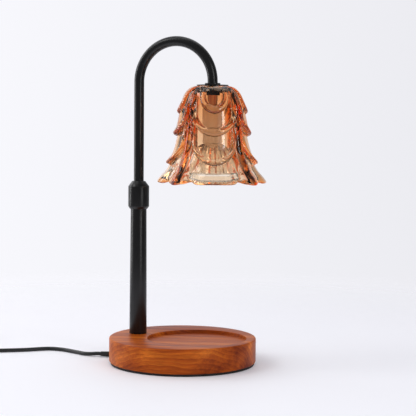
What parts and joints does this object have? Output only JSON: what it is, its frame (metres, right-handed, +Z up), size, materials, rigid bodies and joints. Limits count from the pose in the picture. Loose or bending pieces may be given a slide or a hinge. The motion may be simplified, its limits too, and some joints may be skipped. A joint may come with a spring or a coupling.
{
  "type": "candle warmer lamp",
  "caption": "Candle warmer lamp: round wooden base with a jar recess, sliding and swivelling crooked arm, and a tiered amber glass shade round a downward reflector bulb.",
  "frame": {"origin": "centre of the base's underside, on the surface that it stands on", "axes": "+Z up, +X from the column towards the shade at rest"},
  "size_m": [0.4645, 0.1504, 0.3329],
  "materials": {
    "wood": "oiled, satin",
    "black_paint": "satin black",
    "rubber": "matt",
    "zinc": "zinc plated",
    "brass": "satin",
    "nylon": "natural",
    "amber_glass": "polished",
    "clear_glass": "polished",
    "mirror_coat": "mirror",
    "ceramic": "glazed ceramic",
    "black_plastic": "satin black",
    "insulation": "satin",
    "board": "resin",
    "cord_jacket": "satin black"
  },
  "bodies": {
    "base": {"base_pad": "rubber", "base_block": "wood", "lock_washer": "zinc", "hex_nut": "zinc", "hollow_stud": "zinc", "column_foot": "zinc", "lower_column": "black_paint", "column_head": "brass", "grip_collet": "nylon", "strain_boot": "rubber", "base_lead": "insulation", "cord_to_dimmer": "cord_jacket", "dimmer_top": "black_plastic", "dimmer_bottom": "black_plastic", "dimmer_board": "board", "dimmer_screw_1": "zinc", "dimmer_screw_2": "zinc", "cord_to_coil": "cord_jacket", "cord_coil": "cord_jacket", "cord_to_plug": "cord_jacket", "plug_body": "black_plastic", "plug_pin_1": "zinc", "plug_pin_2": "zinc"},
    "carrier": {"glide_bush": "nylon"},
    "arm": {"arm_tube": "black_paint", "arm_ring_lower": "zinc", "arm_ring_upper": "zinc", "arm_lead": "insulation", "end_fitting": "brass", "shade_plate": "black_paint", "shade_gasket": "rubber", "glass_shade": "amber_glass", "holder_sleeve": "black_plastic", "shade_ring": "black_plastic", "lamp_holder": "ceramic", "bulb_base": "ceramic", "bulb_pin_1": "zinc", "bulb_pin_2": "zinc", "bulb_reflector": "mirror_coat", "bulb_lens": "clear_glass", "bulb_capsule": "clear_glass"},
    "collar": {"clamp_collar": "black_paint"},
    "dimmer_wheel": {"dimmer_wheel": "black_plastic"}
  },
  "joints": [
    {"name": "arm_slide", "type": "slide", "parent": "base", "child": "carrier", "axis": [0, 0, 1], "range_m": [-0.06, 0.028]},
    {"name": "arm_swivel", "type": "hinge", "parent": "carrier", "child": "arm", "pos_m": [-0.051, 0, 0.2], "axis": [0, 0, 1], "range_deg": [-175, 175]},
    {"name": "collar_turn", "type": "hinge", "parent": "base", "child": "collar", "pos_m": [-0.051, 0, 0.1704], "axis": [0, 0, 1], "range_deg": [0, 180]},
    {"name": "dimmer_turn", "type": "hinge", "parent": "base", "child": "dimmer_wheel", "pos_m": [-0.259, -0.044, 0.0104], "axis": [0, 1, 0], "range_deg": [0, 270]}
  ]
}
